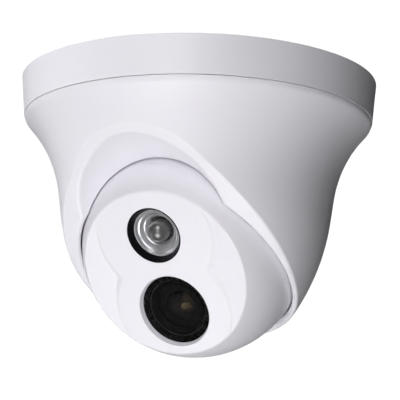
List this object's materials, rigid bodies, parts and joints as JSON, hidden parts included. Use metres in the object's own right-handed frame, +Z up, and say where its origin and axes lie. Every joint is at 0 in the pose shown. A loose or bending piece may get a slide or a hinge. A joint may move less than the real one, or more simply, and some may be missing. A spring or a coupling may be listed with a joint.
{
  "type": "dome camera",
  "caption": "Ceiling turret camera: round base, flared cover with a hooded mouth, and a ball with a lamp and a lens window that pans, tilts and turns.",
  "frame": {"origin": "centre of the ceiling face of the mounting base, on the pan axis", "axes": "+Z up into the ceiling along the pan axis; the hood and the lens face -Y; +X is the tilt axis"},
  "size_m": [0.115, 0.115, 0.089],
  "materials": {
    "white_plastic": "satin",
    "black_rubber": "matte",
    "steel": "zinc plated",
    "nylon": "natural",
    "black_plastic": "moulded",
    "ferrite": "dull",
    "bright_reflector": "vacuum metallised",
    "clear_optic": "polished",
    "coated_glass": "anti-reflection coated",
    "smoked_window": "polished",
    "phosphor": "phosphor",
    "white_board": "solder mask",
    "aluminium": "extruded",
    "black_aluminium": "black anodised",
    "sensor_face": "die under glass",
    "green_board": "solder mask",
    "brass": "turned",
    "lead_sheath": "extruded"
  },
  "bodies": {
    "base": {"mounting_base": "white_plastic", "cable_grommet": "black_rubber", "pan_clips": "steel", "pan_clip_screws": "steel"},
    "cover": {"cover": "white_plastic", "pan_ring": "nylon"},
    "yoke": {"tilt_yoke": "steel", "tilt_pins": "steel", "tilt_washers": "nylon"},
    "ball": {"ball_front_shell": "white_plastic", "ball_rear_shell": "white_plastic", "neck_gland": "black_rubber", "ball_seal": "black_rubber", "window_seal": "black_rubber", "ball_screws": "steel", "neck_clip": "steel", "lamp_screws": "steel", "lens_holder_screws": "steel", "board_screws": "steel", "neck_washer": "nylon", "lamp_bezel": "black_plastic", "lens_shroud": "black_plastic", "lens_holder": "black_plastic", "lamp_socket": "black_plastic", "board_header": "black_plastic", "cable_header": "black_plastic", "image_processor": "black_plastic", "power_inductors": "ferrite", "lamp_reflector": "bright_reflector", "lamp_dome": "clear_optic", "lens_front_element": "coated_glass", "lens_middle_element": "coated_glass", "lens_rear_element": "coated_glass", "ir_cut_filter": "coated_glass", "lens_window": "smoked_window", "lamp_emitter": "phosphor", "lamp_board": "white_board", "lamp_heat_sink": "aluminium", "lens_barrel": "black_aluminium", "image_sensor": "sensor_face", "sensor_board": "green_board", "power_board": "green_board", "front_spacers": "brass", "rear_spacers": "brass", "lamp_lead": "lead_sheath"}
  },
  "joints": [
    {"name": "pan", "type": "hinge", "parent": "base", "child": "cover", "pos_m": [0, 0, -0.0126], "axis": [0, 0, 1], "range_deg": [-175, 175]},
    {"name": "tilt", "type": "hinge", "parent": "cover", "child": "yoke", "pos_m": [0, 0, -0.053], "axis": [1, 0, 0], "range_deg": [-25, 44]},
    {"name": "rotate", "type": "hinge", "parent": "yoke", "child": "ball", "pos_m": [0, 0, -0.053], "axis": [0, -0.832, -0.5548], "range_deg": [-175, 175]}
  ]
}
